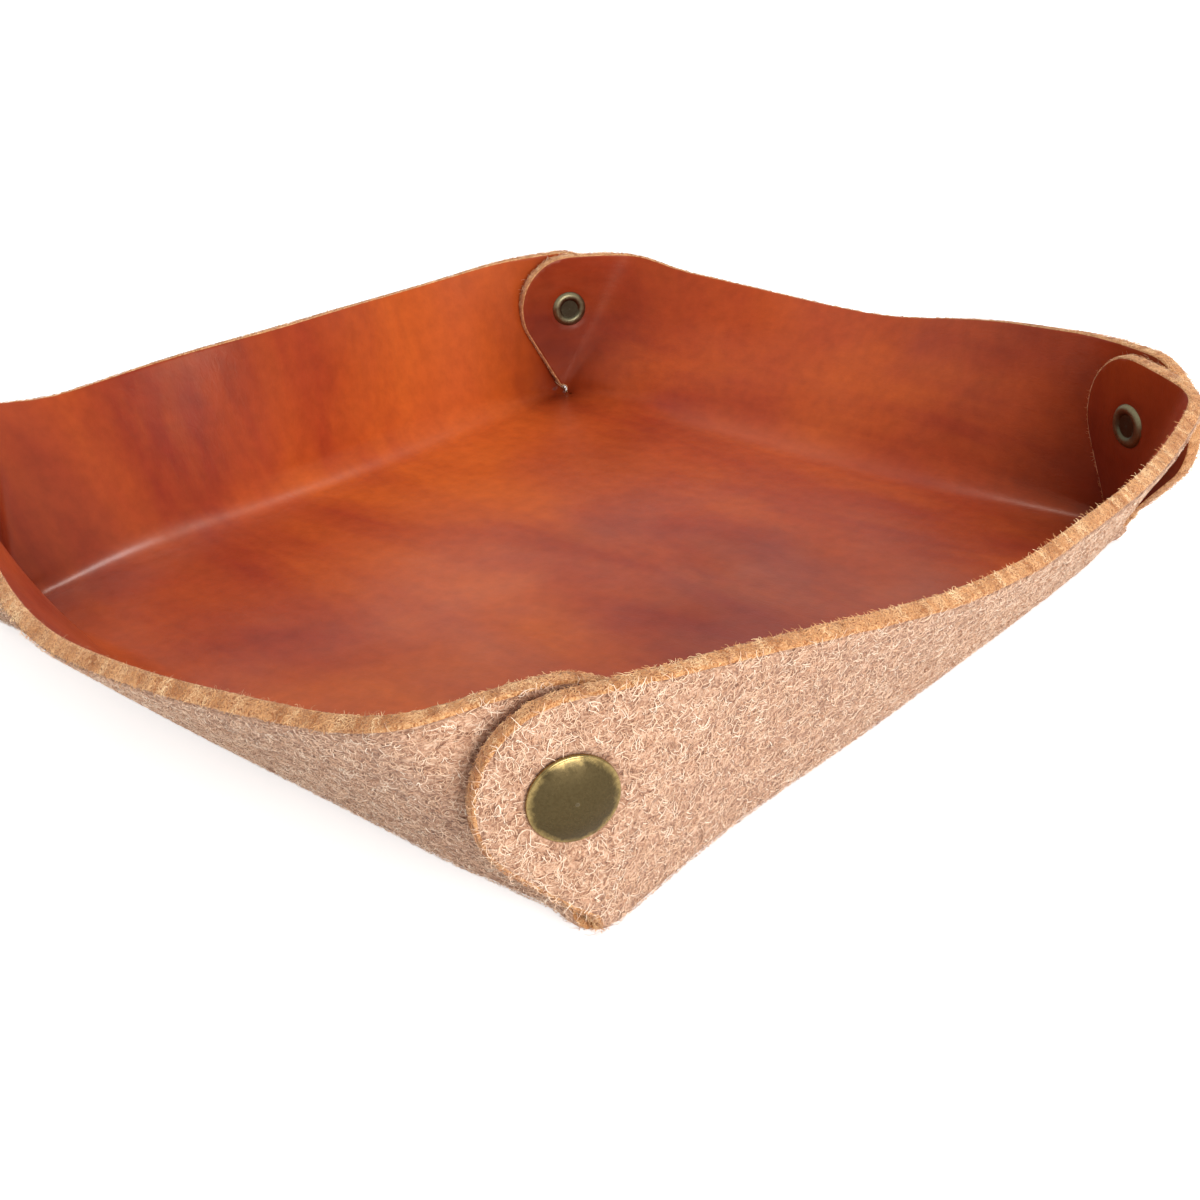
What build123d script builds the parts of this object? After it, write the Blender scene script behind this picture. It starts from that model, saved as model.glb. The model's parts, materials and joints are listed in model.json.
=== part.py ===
from build123d import *
import os
from math import asin, atan2, cos, degrees, radians, sin, sqrt, tan

os.makedirs("parts", exist_ok=True)

# Leather sheet, in millimetres. The walls stand on a square of fold lines.
leather = 3.6  # thickness of the sheet
fold_side = 194.0  # from fold line to fold line
slant = 46.0  # height of a wall, measured along the leather
fold_reach = 4.5  # from a fold line back to where the bend begins
base_margin = 3.0  # flat strip that each wall shares with the base
tab_round = 16.4  # rounding of the tip of each tab
hole_diameter = 5.6  # punched hole at each fold corner
layer_gap = 2.4  # between the two leather layers at a snap
corner_zone = 30.0  # from a fold corner to where the bent corner ends
fold_skew = 1.8  # outer ends of a fold line stand out by this, inner ends in
bend_floor = 7.4  # height where the straight part of every wall has begun
outer_bend = 14.0  # tangent length of the gentle bend into an outer tab, at the rim
inner_bend = 12.0  # tangent length of the sharp bend into an inner tab, at the rim
low_bend = 2.5  # tangent length of both bends beside the hole
snap_height = 31.0  # height of a snap's axis above the table
snap_setback = 2.4  # from the hole's plumb line back to the snap's axis
tab_lift = 0.6  # clearance under an outer tab
overrun = 4.0  # how far a cutting solid runs past what it cuts

# Angles, in degrees.
slit_angle = 45.0  # of each slit in the flat sheet
tab_turn = 28.0  # an outer tab turns in by this from the line of its wall
outer_lean = 17.8  # lean of a wall where its outer corner begins
inner_lean = 30.7  # lean of a wall where its inner corner begins
wall_lean = {"right": 37.0, "back": 43.0, "left": 27.0, "front": 47.0}  # mid-wall
outer_slope = 0.35  # rim direction where the outer corner begins, as a ratio
inner_slope = 0.17  # the same at the inner corner

# Press stud: cap and socket on the outer tab, stud and eyelet post on the inner tab.
seat_depth = 0.4  # how far a flange presses into the leather
seat_clearance = 0.1  # around a flange in its seat
shank_clearance = 0.05  # around a shank in its hole
sheet_metal = 0.5  # thickness of the pressed metal
cap_diameter = 15.0
cap_rise = 1.9  # crown of the cap above the leather
cap_edge = 0.45  # radius of its rolled edge
cap_shank = 4.0
cap_bore = 3.0
cap_roll = 5.4  # the shank's end, rolled over inside the socket
roll_height = 0.4
socket_flange = 12.4
socket_body = 10.8
socket_depth = 2.4
socket_chamber = 9.4
socket_mouth = 7.2
socket_lip = 0.4
spring_wire = 0.7
spring_inside = 5.7
spring_opening = 25.0  # degrees left open in the spring ring
stud_flange = 11.6
stud_neck = 5.2
stud_bulb = 6.1
stud_rise = 1.7  # bulb above the stud's flange
stud_waist = 1.1  # top of the neck above the flange
stud_bore = 4.6
stud_round = 0.25
post_flange = 10.8
post_rise = 0.9
post_dish = 6.4
post_dish_depth = 0.5
post_shank = 3.2
post_bore = 2.2
post_roll = 4.4
post_dimple = 0.5  # metal left between the dish and the bore

half = fold_side / 2
zone_start = half - corner_zone
strip_start = half - fold_reach - base_margin
mid = leather / 2
layer_offset = (leather + layer_gap) / 2
rim_height = mid + slant
band_top = rim_height + overrun
hole_radius = hole_diameter / 2
turn = radians(tab_turn)
normal_out = (cos(turn), -sin(turn))
along_out = (sin(turn), cos(turn))
hole_reach = 2 * hole_diameter
station_shares = [-1, -0.8, -0.5, 0, 0.5, 0.8, 1]  # of the way to the bent corners
corner_names = ["front_right", "back_right", "back_left", "front_left"]
wall_names = ["right", "back", "left", "front"]


def wall_section(lean, skew, height=None, level_cut=False):
    """Profile of base strip, bend and wall, as (inner, outer) point lists with radii."""
    a = radians(lean)
    bend = fold_reach / tan((radians(90) - a) / 2)
    offset = mid * (1 - sin(a)) / cos(a)
    fold = half + skew
    inner_corner = (fold - mid * cos(a) + offset * sin(a), leather)
    outer_corner = (fold + mid * cos(a) - offset * sin(a), 0)
    if height is None and not level_cut:
        rim = (fold + slant * sin(a), mid + slant * cos(a))
        inner_top = (rim[0] - mid * cos(a), rim[1] + mid * sin(a))
        outer_top = (rim[0] + mid * cos(a), rim[1] - mid * sin(a))
    else:
        top = mid + slant * cos(a) if height is None else height
        line = fold + (top - mid) * tan(a)
        inner_top = (line - mid / cos(a), top)
        outer_top = (line + mid / cos(a), top)
    inner = [(strip_start, leather), inner_corner, inner_top]
    outer = [(strip_start, 0), outer_corner, outer_top]
    return inner, outer, bend - mid, bend + mid


def section_plane(y):
    """Upright plane across a wall at y, with sketch x outward and sketch y up."""
    return Plane(origin=(0, y, 0), x_dir=(1, 0, 0), z_dir=(0, -1, 0))


def leather_section(y, lean, skew, height=None, level_cut=False):
    """Cross-section of the leather at y, closed at its base strip and its cut edge."""
    inner, outer, inner_radius, outer_radius = wall_section(lean, skew, height, level_cut)
    with BuildSketch(section_plane(y)) as section:
        with BuildLine():
            FilletPolyline(*inner, radius=inner_radius)
            Line(inner[-1], outer[-1])
            FilletPolyline(*outer, radius=outer_radius)
            Line(outer[0], inner[0])
        make_face()
    return section.sketch


def flare(y, mid_lean):
    """How far the rim leans out at y: a curve from the outer corner over mid-wall."""
    rise = slant * sin(radians(mid_lean))
    outer_end = slant * sin(radians(outer_lean))
    inner_end = slant * sin(radians(inner_lean))
    start, slope = (outer_end, outer_slope) if y < 0 else (inner_end, inner_slope)
    t = 1 - abs(y) / zone_start
    blend = (2 * t**3 - 3 * t**2 + 1) * start + (3 * t**2 - 2 * t**3) * rise
    return blend + (t**3 - 2 * t**2 + t) * slope * zone_start


def tangent_point(flat, flat_direction, wall, wall_direction):
    """Where the flat line of a tab meets the line of its wall, seen from above."""
    cross = flat_direction[0] * wall_direction[1] - flat_direction[1] * wall_direction[0]
    dx, dy = wall[0] - flat[0], wall[1] - flat[1]
    reach = (dx * wall_direction[1] - dy * wall_direction[0]) / cross
    return flat[0] + flat_direction[0] * reach, flat[1] + flat_direction[1] * reach


def band_outline(side, z):
    """Plan of a bent corner at height z, as points measured from its fold corner.

    side is 1 at a wall's outer end and -1 at its inner end. The first number of a
    point runs outward from the fold line, the second along it to mid-wall.
    """
    share = (z - bend_floor) / (band_top - bend_floor)
    lean = radians(outer_lean if side > 0 else inner_lean)
    if side > 0:
        normal, along = normal_out, along_out
    else:
        normal, along = (sin(turn), -cos(turn)), (cos(turn), sin(turn))
    end = ((z - mid) * tan(lean), corner_zone)
    low_end = (bend_floor - mid) * tan(lean)
    low_slope = (low_end - side * fold_skew) / (corner_zone + overrun)
    top_slope = outer_slope if side > 0 else inner_slope
    slope = low_slope + (top_slope - low_slope) * share
    length = sqrt(1 + slope**2)
    wall_direction = (slope / length, 1 / length)
    top_bend = outer_bend if side > 0 else inner_bend
    bend = low_bend + (top_bend - low_bend) * share
    bend_angle = atan2(along[0], along[1]) - atan2(*wall_direction)
    faces = []
    for face in (1, -1):
        shift = side * layer_offset + face * mid
        flat = (normal[0] * shift, normal[1] * shift)
        wall = (end[0] + face * mid / cos(lean), end[1])
        corner = tangent_point(flat, along, wall, wall_direction)
        reach = bend + face * mid * tan(bend_angle / 2)
        free = -slant - overrun
        faces.append((
            (flat[0] + along[0] * free, flat[1] + along[1] * free),
            (corner[0] - along[0] * reach, corner[1] - along[1] * reach),
            (corner[0] + wall_direction[0] * reach, corner[1] + wall_direction[1] * reach),
            wall,
        ))
    return faces, along


def band_place(side, point):
    """A point of a band in the frame of the whole tray."""
    return half + point[0], side * (point[1] - half)


def band_section(side, z, stretch):
    """Horizontal section of a bent corner: its tab, its wall line or both."""
    (outer, inner), along = band_outline(side, z)
    outer = [band_place(side, p) for p in outer]
    inner = [band_place(side, p) for p in inner]
    tangent = (along[0], side * along[1])
    with BuildSketch(Plane.XY.offset(z)) as section:
        with BuildLine():
            if stretch == "wall":
                Line(outer[2], outer[3])
                Line(outer[3], inner[3])
                Line(inner[3], inner[2])
                Line(inner[2], outer[2])
            else:
                Line(outer[0], outer[1])
                TangentArc(outer[1], outer[2], tangent=tangent)
                TangentArc(inner[1], inner[2], tangent=tangent)
                Line(inner[1], inner[0])
                Line(inner[0], outer[0])
                if stretch == "tab":
                    Line(outer[2], inner[2])
                else:
                    Line(outer[2], outer[3])
                    Line(outer[3], inner[3])
                    Line(inner[3], inner[2])
        make_face()
    return section.sketch


def tab_plane(side):
    """Plane of a tab at its fold corner: sketch x along the leather, sketch y up."""
    if side > 0:
        along, normal, y = (along_out[0], along_out[1], 0), normal_out, -half
    else:
        along, normal, y = (cos(turn), -sin(turn), 0), (sin(turn), cos(turn)), half
    facing = 1 if side > 0 else -1
    outward = (facing * normal[0], facing * normal[1], 0)
    return Plane(origin=(half, y, 0), x_dir=along, z_dir=outward)


def tab_outline(side, floor):
    """Face that trims a bent corner: slit edge, rounded tip and rim."""
    lean = radians(outer_lean if side > 0 else inner_lean)
    along = along_out if side > 0 else (cos(turn), sin(turn))
    end_height = mid + slant * cos(lean)
    end = along[0] * slant * sin(lean) + along[1] * corner_zone
    tangent_length = tab_round / tan(radians(slit_angle / 2))
    tip = tangent_length - slant
    slit = (slant * sqrt(2) - tangent_length) / sqrt(2)
    fall = 2 * (rim_height - end_height) / end
    far = end + corner_zone
    far_height = end_height - fall * (far - end)
    with BuildSketch(tab_plane(side)) as outline:
        with BuildLine():
            Line((far, floor), (mid - floor, floor))
            Line((mid - floor, floor), (-slit, mid + slit))
            TangentArc((-slit, mid + slit), (tip, rim_height), tangent=(-1, 1))
            Spline((tip, rim_height), (end, end_height), tangents=((1, 0), (1, -fall)))
            Line((end, end_height), (far, far_height))
            Line((far, far_height), (far, floor))
        make_face()
    return outline.sketch


def bent_corner(side, stretch, floor):
    """Leather around a fold corner, above the bend, trimmed to the sheet's outline."""
    with BuildPart() as corner:
        loft([band_section(side, z, stretch) for z in (bend_floor, band_top)], ruled=True)
        extrude(tab_outline(side, floor), amount=slant, both=True, mode=Mode.INTERSECT)
    return corner.part


def corner_strip(side):
    """Bend of a wall beside its fold corner, up to where the bent corner stands."""
    lean = outer_lean if side > 0 else inner_lean
    with BuildPart() as strip:
        joined = leather_section(-side * zone_start, lean, 0, bend_floor)
        free = leather_section(-side * (half + overrun), 0, side * fold_skew, bend_floor)
        loft([joined, free], ruled=True)
        with BuildSketch(Plane.XY):
            with BuildLine():
                Polyline((0, 0), (2 * half, -side * 2 * half), (2 * half, 0), close=True)
            make_face()
        extrude(amount=2 * bend_floor, both=True, mode=Mode.INTERSECT)
    return strip.part


def wall_panel(lean):
    """Middle of a wall: a loft through cross-sections of the leather."""
    sections = []
    for share in station_shares:
        y = share * zone_start
        angle = degrees(asin(flare(y, lean) / slant))
        sections.append(leather_section(y, angle, 0, level_cut=abs(share) == 1))
    with BuildPart() as panel:
        loft(sections)
    return panel.part


def snap_plane(index):
    """Plane across a snap's axis: origin midway between the layers, facing outward."""
    tab = tab_plane(1)
    centre = tab.origin + tab.x_dir * -snap_setback + Vector(0, 0, snap_height)
    origin, x_dir, z_dir = [v.rotate(Axis.Z, 90 * index) for v in (centre, tab.x_dir, tab.z_dir)]
    return Plane(origin=origin, x_dir=x_dir, z_dir=z_dir)


def profile_plane(index):
    """Plane through a snap's axis: sketch x is radius, sketch y runs outward."""
    across = snap_plane(index)
    return Plane(origin=across.origin, x_dir=(0, 0, 1), z_dir=Vector(0, 0, 1).cross(across.z_dir))


def snap_axis(index):
    across = snap_plane(index)
    return Axis(across.origin, across.z_dir)


gap_face = layer_gap / 2
outer_face = gap_face + leather
cap_back = outer_face - seat_depth
socket_back = gap_face + seat_depth
socket_floor = socket_back - sheet_metal
socket_front = socket_back - socket_depth
stud_back = -gap_face - seat_depth
stud_face = stud_back + sheet_metal
post_back = -outer_face + seat_depth


def snap_cap(index):
    """Domed cap with a hollow shank, rolled over the socket's floor."""
    radius = cap_diameter / 2
    crown = outer_face + cap_rise
    brow = cap_back + 2 * cap_edge
    with BuildPart() as cap:
        with BuildSketch(profile_plane(index)):
            with BuildLine():
                Line((0, crown - sheet_metal), (0, crown))
                TangentArc((0, crown), (radius - cap_edge, brow), tangent=(1, 0))
                ThreePointArc((radius - cap_edge, brow), (radius, cap_back + cap_edge),
                              (radius - cap_edge, cap_back))
                Polyline((radius - cap_edge, cap_back), (cap_shank / 2, cap_back),
                         (cap_shank / 2, socket_floor), (cap_roll / 2, socket_floor),
                         (cap_roll / 2, socket_floor - roll_height),
                         (cap_bore / 2, socket_floor - roll_height),
                         (cap_bore / 2, crown - sheet_metal), (0, crown - sheet_metal))
            make_face()
        revolve(axis=snap_axis(index))
    return cap


def snap_socket(index):
    """Pressed socket: flange on the leather, chamber for the spring, lip at its mouth."""
    body = socket_body / 2
    with BuildPart() as socket:
        with BuildSketch(profile_plane(index)):
            with BuildLine():
                Polyline((cap_shank / 2 + shank_clearance, socket_back),
                         (socket_flange / 2, socket_back), (socket_flange / 2, socket_floor),
                         (body, socket_floor), (body, socket_front + socket_lip))
                RadiusArc((body, socket_front + socket_lip), (body - socket_lip, socket_front),
                          socket_lip)
                Polyline((body - socket_lip, socket_front), (socket_mouth / 2, socket_front),
                         (socket_mouth / 2, socket_front + socket_lip),
                         (socket_chamber / 2, socket_front + socket_lip),
                         (socket_chamber / 2, socket_floor),
                         (cap_shank / 2 + shank_clearance, socket_floor),
                         (cap_shank / 2 + shank_clearance, socket_back))
            make_face()
        revolve(axis=snap_axis(index))
    return socket


def socket_spring(index):
    """Split ring of round wire that lies on the socket's lip and grips the stud's neck."""
    level = socket_front + socket_lip + spring_wire / 2
    with BuildPart() as spring:
        with BuildSketch(profile_plane(index)):
            with Locations(((spring_inside + spring_wire) / 2, level)):
                Circle(spring_wire / 2)
        revolve(axis=snap_axis(index), revolution_arc=360 - spring_opening)
    return spring


def snap_stud(index):
    """Open-topped stud: flange on the leather, waisted neck and bulb."""
    neck, bulb, bore = stud_neck / 2, stud_bulb / 2, stud_bore / 2
    crown = stud_face + stud_rise
    waist = stud_face + stud_waist
    with BuildPart() as stud:
        with BuildSketch(profile_plane(index)):
            with BuildLine():
                Polyline((post_shank / 2 + shank_clearance, stud_back),
                         (stud_flange / 2, stud_back), (stud_flange / 2, stud_face),
                         (neck, stud_face), (neck, waist), (bulb, crown - stud_round))
                RadiusArc((bulb, crown - stud_round), (bulb - stud_round, crown), -stud_round)
                Polyline((bulb - stud_round, crown), (bore, crown), (bore, stud_face),
                         (post_shank / 2 + shank_clearance, stud_face),
                         (post_shank / 2 + shank_clearance, stud_back))
            make_face()
        revolve(axis=snap_axis(index))
    return stud


def snap_post(index):
    """Eyelet post: dished flange inside the tray, shank rolled over the stud's floor."""
    flange, dish = post_flange / 2, post_dish / 2
    brow = (flange + dish) / 2
    face = post_back - post_rise
    floor = face + post_dish_depth
    with BuildPart() as post:
        with BuildSketch(profile_plane(index)):
            with BuildLine():
                Polyline((0, floor), (dish - post_dish_depth, floor))
                ThreePointArc((dish - post_dish_depth, floor), (brow, face), (flange, post_back))
                Polyline((flange, post_back), (post_shank / 2, post_back),
                         (post_shank / 2, stud_face), (post_roll / 2, stud_face),
                         (post_roll / 2, stud_face + roll_height),
                         (post_bore / 2, stud_face + roll_height),
                         (post_bore / 2, floor + post_dimple), (0, floor + post_dimple),
                         (0, floor))
            make_face()
        revolve(axis=snap_axis(index))
    return post


def cut_round(index, diameter, start, end):
    """Cut a round hole along a snap's axis, between two distances from the contact plane."""
    with BuildSketch(snap_plane(index).offset(start)) as disc:
        Circle(diameter / 2)
    extrude(disc.sketch, amount=end - start, mode=Mode.SUBTRACT)


def hole_plane(index):
    """Plane across the punched hole, tilted half-way between base and corner."""
    outward = Vector(1, -1, 0).rotate(Axis.Z, 90 * index)
    centre = Vector(half, -half, mid).rotate(Axis.Z, 90 * index)
    return Plane(origin=centre, z_dir=outward + Vector(0, 0, -1))


corner_pieces = [
    corner_strip(1),
    corner_strip(-1),
    bent_corner(1, "wall", bend_floor - overrun),
    bent_corner(-1, "whole", bend_floor - overrun),
]
loose_tab = bent_corner(1, "tab", bend_floor + tab_lift)
snap_makers = {
    "snap_cap": snap_cap,
    "snap_socket": snap_socket,
    "socket_spring": socket_spring,
    "snap_stud": snap_stud,
    "snap_post": snap_post,
}

with BuildPart() as leather_body:
    Box(2 * strip_start, 2 * strip_start, leather, align=(Align.CENTER, Align.CENTER, Align.MIN))
    for index, wall in enumerate(wall_names):
        spin = (0, 0, 90 * index)
        add(wall_panel(wall_lean[wall]), rotation=spin)
        for piece in corner_pieces:
            add(piece, rotation=spin)
    for index in range(len(corner_names)):
        cut_round(index, post_shank + 2 * shank_clearance, -outer_face - overrun, 0)
        cut_round(index, stud_flange + 2 * seat_clearance, -gap_face - seat_depth, 0)
        cut_round(index, post_flange + 2 * seat_clearance, -outer_face - overrun, post_back)
        with BuildSketch(hole_plane(index)):
            Circle(hole_radius)
        extrude(amount=hole_reach, both=True, mode=Mode.SUBTRACT)
leather_body.part.label = "leather_body"
export_step(leather_body.part, "parts/leather_body.step")

for index, corner in enumerate(corner_names):
    with BuildPart() as outer_tab:
        add(loose_tab, rotation=(0, 0, 90 * index))
        cut_round(index, cap_shank + 2 * shank_clearance, 0, outer_face + overrun)
        cut_round(index, socket_flange + 2 * seat_clearance, 0, socket_back)
        cut_round(index, cap_diameter + 2 * seat_clearance, cap_back, outer_face + overrun)
    outer_tab.part.label = f"outer_tab_{corner}"
    export_step(outer_tab.part, f"parts/outer_tab_{corner}.step")
    for name, make in snap_makers.items():
        piece = make(index)
        piece.part.label = f"{name}_{corner}"
        export_step(piece.part, f"parts/{name}_{corner}.step")
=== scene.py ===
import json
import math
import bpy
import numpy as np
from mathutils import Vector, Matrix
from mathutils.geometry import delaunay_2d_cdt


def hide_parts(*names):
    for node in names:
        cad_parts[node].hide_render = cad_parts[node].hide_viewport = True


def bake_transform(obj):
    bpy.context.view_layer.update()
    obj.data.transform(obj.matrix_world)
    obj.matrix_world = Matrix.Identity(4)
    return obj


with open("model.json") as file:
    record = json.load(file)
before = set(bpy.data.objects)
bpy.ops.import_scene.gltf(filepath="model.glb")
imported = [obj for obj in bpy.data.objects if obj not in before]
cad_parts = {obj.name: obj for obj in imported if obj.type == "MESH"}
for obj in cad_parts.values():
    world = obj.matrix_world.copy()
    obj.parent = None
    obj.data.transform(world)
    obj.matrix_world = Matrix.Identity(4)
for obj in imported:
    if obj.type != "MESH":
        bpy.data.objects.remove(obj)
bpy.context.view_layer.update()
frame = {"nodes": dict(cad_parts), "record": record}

# Looks of the leather valet tray. The one sheet of leather is shown as four pieces, each a
# quarter of the base with its wall and the wall's two tabs. The press studs are shown by their
# own solids, which get materials here.
#
# Lengths are in millimetres until they are handed to Blender. A point of the flat sheet is
# (p, q): p runs from the middle of the base out across a fold, q runs along the fold. All
# pieces are worked out as wall 0, the right one, and turned by quarter turns.

MM = 0.001
CORNERS = ["front_right", "back_right", "back_left", "front_left"]
WALLS = ["right", "back", "left", "front"]
OUTER, INNER = 1, -1            # a wall's ends: the outer tab at negative q, the inner at positive

# ---------------------------------------------------------------- sizes of the sheet
HALF = 97.0                     # middle of the base to a fold line
MID = 1.8                       # half the leather's thickness
SLANT = 46.0                    # fold line to rim, along the leather
RIM = MID + SLANT               # rim above the table where the leather stands upright
REACH = 4.5                     # a fold's curve on both sides of its line, at the corners
SOFT = 4.5                      # what the curve reaches further at the middle of a wall
SOFT_END, SOFT_WIDTH = 96, 56   # where along the fold that begins, and over what length
FOLD_FADE = 5.0                 # past the corner the fold's curve dies out over this length
MIDLEAN = [math.radians(a) for a in (35.6, 44.0, 13.0, 41.5)]   # walls' leans at their middles
LEAN = {OUTER: math.radians(17.8), INNER: math.radians(30.7)}   # leans where the bends start
SLOPE = {OUTER: 0.35, INNER: 0.17}                              # the rims' flare there

# bent corners
ZONE = 30.0                     # length of wall before the corner that takes part in the bend
START = HALF - ZONE
TURN = math.radians(28.0)       # direction in which a corner's cap faces, from square to the wall
OFF = 3.0                       # middle of a tab's layer to the plane between the layers
SKEW = 1.8                      # shift of a bend's foot, away from the other layer
SKEW_RUN = 4.0                  # length past the zone over which the shift is spread
FLOOR, TOP = 7.4, 51.8          # heights between which a bend widens
LOW_BEND = 2.5                  # length of a bend's tangents, low down and high up
TOP_BEND = {OUTER: 14.0, INNER: 12.0}
BLUR, BLUR_SPREAD, BLUR_NODES = 5.0, 11.0, 5    # softening where wall and bend meet

# tabs, slits and press studs
ROUND = 16.4                    # rounding of a tab
TIP = ROUND / math.tan(math.pi / 8) - SLANT
HOLE, HOLE_OUT = 2.8, 2.0       # radius of a corner hole, and its place outside both fold lines
SLIT = {OUTER: math.radians(45.0), INNER: math.radians(27.0)}
SLIT_RISE = {OUTER: 5.0, INNER: 0.0}            # how far up the wall a slit starts
SNAP_HEIGHT, SNAP_SETBACK = 31.0, 2.4           # above the table; back from the fold corner
TAB_FROM = 90                   # points further along the fold than this belong to a tab
SEAT_DEPTH, SEAT_EDGE, SEAT_SPAN = 0.42, 1.3, 14        # dent that a flange presses in

# join of two quarters beside the corner holes: its width, and where it comes in and dies out
MITRE_WIDTH = 6.0
MITRE_START, MITRE_RUN = 60, 10
MITRE_END, MITRE_FADE = HALF + 3.2, 3.0
BASE_START, BASE_RUN = 55, 24   # the base follows the fold line's shift from here outward

# waviness of real leather, as (noise seed, height, cell size)
WALL_WAVES = ((3, 0.35, 37.0), (4, 0.16, 15.0))
BASE_WAVES = ((5, 0.05, 21.0),)
NAP_WAVES = ((21, 0.10, 1.4), (22, 0.07, 3.1))
WAVE_DIRECTION = (0.8, 0.0, -0.6)
UP_START, UP_RUN = 99, 12       # the walls' waves grow up from the fold
ALONG_END, ALONG_FADE = 103, 22             # and die out before the tabs
BASE_END, BASE_FADE = 88, 10    # the base's waves die out before the fold
UNDER_END, UNDER_FADE = 96, 8   # the underside is worn flat, up to here
UNDER_SEED, UNDER_DEPTH, UNDER_CELL = 23, 0.12, 1.9


def rotate(P, k):
    """Points or directions of wall 0, turned to wall k."""
    c, s = [(1, 0), (0, 1), (-1, 0), (0, -1)][k % 4]
    return np.stack([c * P[..., 0] - s * P[..., 1], s * P[..., 0] + c * P[..., 1], P[..., 2]], -1)


def smooth(t):
    return t * t * (3 - 2 * t)


def snap_axis(corner):
    """Middle of a press stud between its two layers, and the direction that its cap faces."""
    c, s = math.cos(TURN), math.sin(TURN)
    centre = np.array([HALF - SNAP_SETBACK * s, -HALF - SNAP_SETBACK * c, SNAP_HEIGHT])
    return rotate(centre, corner), rotate(np.array([c, -s, 0.0]), corner)


# ---------------------------------------------------------------- shape of the folded sheet
def flare(c, k):
    """How far wall k's rim stands out from its fold line, along the wall."""
    rise = SLANT * math.sin(MIDLEAN[k])
    c = np.clip(c, -START, START)
    t = 1 - np.abs(c) / START
    start = np.where(c < 0, SLANT * math.sin(LEAN[OUTER]), SLANT * math.sin(LEAN[INNER]))
    slope = np.where(c < 0, SLOPE[OUTER], SLOPE[INNER])
    blend = (2 * t**3 - 3 * t**2 + 1) * start + (3 * t**2 - 2 * t**3) * rise
    return blend + (t**3 - 2 * t**2 + t) * slope * START


def rim_height(a, side):
    """Height of the rim above the table round a bent corner, a along the fold."""
    lean = LEAN[side]
    ax, ay = math.sin(TURN), math.cos(TURN)
    if side == INNER:
        ax, ay = ay, ax
    end_height = MID + SLANT * math.cos(lean)
    end = ax * SLANT * math.sin(lean) + ay * ZONE
    fall = 2 * (RIM - end_height) / end
    x = np.where(a < HALF, end * (HALF - a) / ZONE, HALF - a)
    span = end - TIP
    u = np.clip((x - TIP) / span, 0, 1)
    rise = (2 * u**3 - 3 * u**2 + 1) * RIM + (3 * u**2 - 2 * u**3) * end_height
    return rise + (u**3 - u**2) * (-fall) * span


def band(a, z, side):
    """Plan of a bent corner at height z: a wall line, an arc, and the flat line of the tab."""
    share = np.clip((z - FLOOR) / (TOP - FLOOR), 0, None)
    if side == OUTER:
        nx, ny, ax, ay = math.cos(TURN), -math.sin(TURN), math.sin(TURN), math.cos(TURN)
    else:
        nx, ny, ax, ay = math.sin(TURN), -math.cos(TURN), math.cos(TURN), math.sin(TURN)
    tilt = math.tan(LEAN[side])
    ex = (z - MID) * tilt
    low = ((np.minimum(z, FLOOR) - MID) * tilt - side * SKEW) / (ZONE + SKEW_RUN)
    slope = low + (SLOPE[side] - low) * share
    length = np.sqrt(1 + slope**2)
    wx, wy = slope / length, 1 / length
    bend = LOW_BEND + (TOP_BEND[side] - LOW_BEND) * share
    # the two lines meet at (kx, ky); the arc runs from (cx, cy) on the wall to (bx, by)
    fx, fy = nx * side * OFF, ny * side * OFF
    cross = ax * wy - ay * wx
    reach = ((ex - fx) * wy - (ZONE - fy) * wx) / cross
    kx, ky = fx + ax * reach, fy + ay * reach
    bx, by = kx - ax * bend, ky - ay * bend
    cx, cy = kx + wx * bend, ky + wy * bend
    turn = np.abs(np.arctan2(ax, ay) - np.arctan2(wx, wy))
    radius = bend / np.tan(turn / 2)
    arc = radius * turn
    line = np.hypot(ex - cx, ZONE - cy)
    total = line + arc + ((bx - fx) * ax + (by - fy) * ay)
    d = np.where(a > HALF, total + (a - HALF), (a - START) / ZONE * total)
    px = ex + (cx - ex) * d / line
    py = ZONE + (cy - ZONE) * d / line
    phi = np.clip((d - line) / arc, 0, 1) * turn
    sx, sy = -wx, -wy
    hand = np.sign(sx * (-ay) - sy * (-ax))
    mx, my = -sy * hand, sx * hand
    qx = cx + radius * (sx * np.sin(phi) + mx * (1 - np.cos(phi)))
    qy = cy + radius * (sy * np.sin(phi) + my * (1 - np.cos(phi)))
    rest = d - line - arc
    x = np.where(d < line, px, np.where(d < line + arc, qx, bx - ax * rest))
    y = np.where(d < line, py, np.where(d < line + arc, qy, by - ay * rest))
    return x, y


def wall_point(c, t, k):
    """Middle of the leather above the fold: c along the fold, t up the leather."""
    c, t = np.broadcast_arrays(np.asarray(c, float), np.asarray(t, float))
    up = np.maximum(t, 0)
    s = flare(c, k) / SLANT
    out = np.stack([HALF + up * s, c, MID + up * np.sqrt(1 - s**2)], -1)
    for side in (OUTER, INNER):
        m = c * side < -START
        if m.any():
            a = np.abs(c[m])
            z = MID + up[m] * (rim_height(a, side) - MID) / SLANT
            bx, by = band(a, z, side)
            out[m] = np.stack([HALF + bx, side * (by - HALF), z], -1)
    return out


def smooth_wall(c, t, k):
    """wall_point, averaged along the wall where its stretches meet."""
    c, t = np.broadcast_arrays(np.asarray(c, float), np.asarray(t, float))
    width = BLUR * np.exp(-((np.abs(c) - START) / BLUR_SPREAD)**2)
    nodes, weights = np.polynomial.hermite_e.hermegauss(BLUR_NODES)
    weights = weights / weights.sum()
    return sum(w * wall_point(c + n * width, t, k) for n, w in zip(nodes, weights))


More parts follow.
